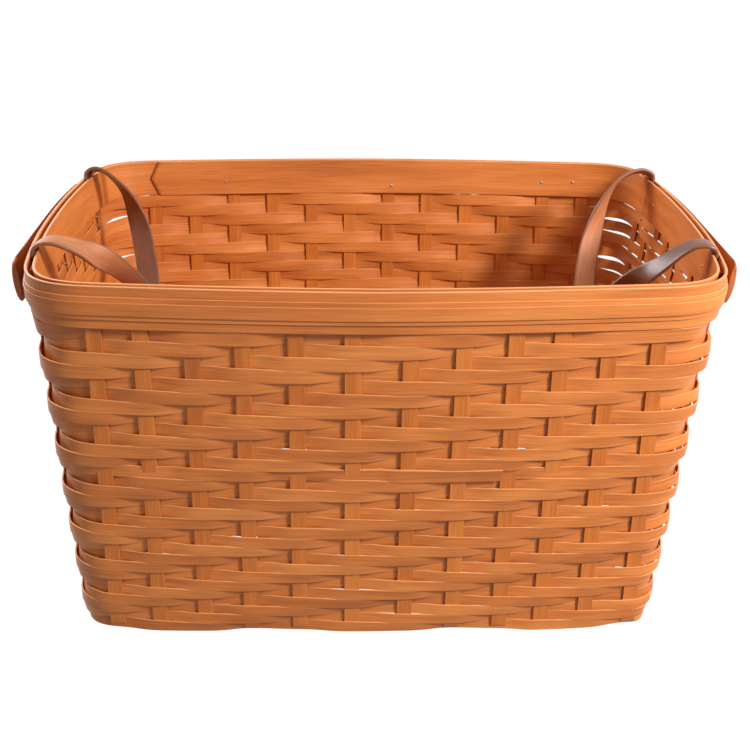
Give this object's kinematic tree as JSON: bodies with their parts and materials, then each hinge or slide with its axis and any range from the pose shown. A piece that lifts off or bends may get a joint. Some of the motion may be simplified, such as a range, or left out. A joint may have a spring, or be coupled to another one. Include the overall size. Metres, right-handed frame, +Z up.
{
  "type": "toy basket",
  "caption": "Rectangular splint basket in twill weave with flaring walls, a banded rim, side rails and leather strap handles that lift, for storing toys.",
  "frame": {"origin": "middle of the rim's outline, at the level the basket stands on", "axes": "+X along the length to the right, -Y the front, +Z up"},
  "size_m": [0.5967, 0.4318, 0.3286],
  "materials": {
    "splint_wood": "honey-stained maple, satin",
    "weaver_wood": "honey-stained maple, satin",
    "rim_wood": "honey-stained maple, satin",
    "rail_wood": "honey-stained maple, satin",
    "strap_leather": "brown, semi-gloss"
  },
  "bodies": {
    "basket": {"cross_splint_01": "splint_wood", "cross_splint_02": "splint_wood", "cross_splint_03": "splint_wood", "cross_splint_04": "splint_wood", "cross_splint_05": "splint_wood", "cross_splint_06": "splint_wood", "cross_splint_07": "splint_wood", "cross_splint_08": "splint_wood", "cross_splint_09": "splint_wood", "cross_splint_10": "splint_wood", "cross_splint_11": "splint_wood", "cross_splint_12": "splint_wood", "long_splint_01": "splint_wood", "long_splint_02": "splint_wood", "long_splint_03": "splint_wood", "long_splint_04": "splint_wood", "long_splint_05": "splint_wood", "long_splint_06": "splint_wood", "long_splint_07": "splint_wood", "long_splint_08": "splint_wood", "long_splint_09": "splint_wood", "long_splint_10": "splint_wood", "weaver_row_01": "weaver_wood", "weaver_row_02": "weaver_wood", "weaver_row_03": "weaver_wood", "weaver_row_04": "weaver_wood", "weaver_row_05": "weaver_wood", "weaver_row_06": "weaver_wood", "weaver_row_07": "weaver_wood", "weaver_row_08": "weaver_wood", "weaver_row_09": "weaver_wood", "weaver_row_10": "weaver_wood", "weaver_row_11": "weaver_wood", "weaver_row_12": "weaver_wood", "weaver_row_13": "weaver_wood", "weaver_row_14": "weaver_wood", "weaver_row_15": "weaver_wood", "weaver_row_16": "weaver_wood", "weaver_row_17": "weaver_wood", "weaver_row_18": "weaver_wood", "weaver_row_19": "weaver_wood", "weaver_row_20": "weaver_wood", "weaver_row_21": "weaver_wood", "weaver_row_22": "weaver_wood", "weaver_row_23": "weaver_wood", "weaver_row_24": "weaver_wood", "weaver_row_25": "weaver_wood", "weaver_row_26": "weaver_wood", "weaver_row_27": "weaver_wood", "weaver_row_28": "weaver_wood", "weaver_row_29": "weaver_wood", "weaver_row_30": "weaver_wood", "inner_rim_band": "rim_wood", "outer_rim_band": "rim_wood", "wide_rim_trim": "rim_wood", "narrow_rim_trim": "rim_wood", "left_side_rail": "rail_wood", "right_side_rail": "rail_wood"},
    "left_strap": {"left_handle": "strap_leather"},
    "right_strap": {"right_handle": "strap_leather"}
  },
  "joints": [
    {"name": "left_strap_lift", "type": "hinge", "parent": "basket", "child": "left_strap", "pos_m": [-0.28447, 0, 0.3195], "axis": [0, -1, 0], "range_deg": [0, 90]},
    {"name": "right_strap_lift", "type": "hinge", "parent": "basket", "child": "right_strap", "pos_m": [0.28447, 0, 0.3195], "axis": [0, 1, 0], "range_deg": [0, 90]}
  ]
}
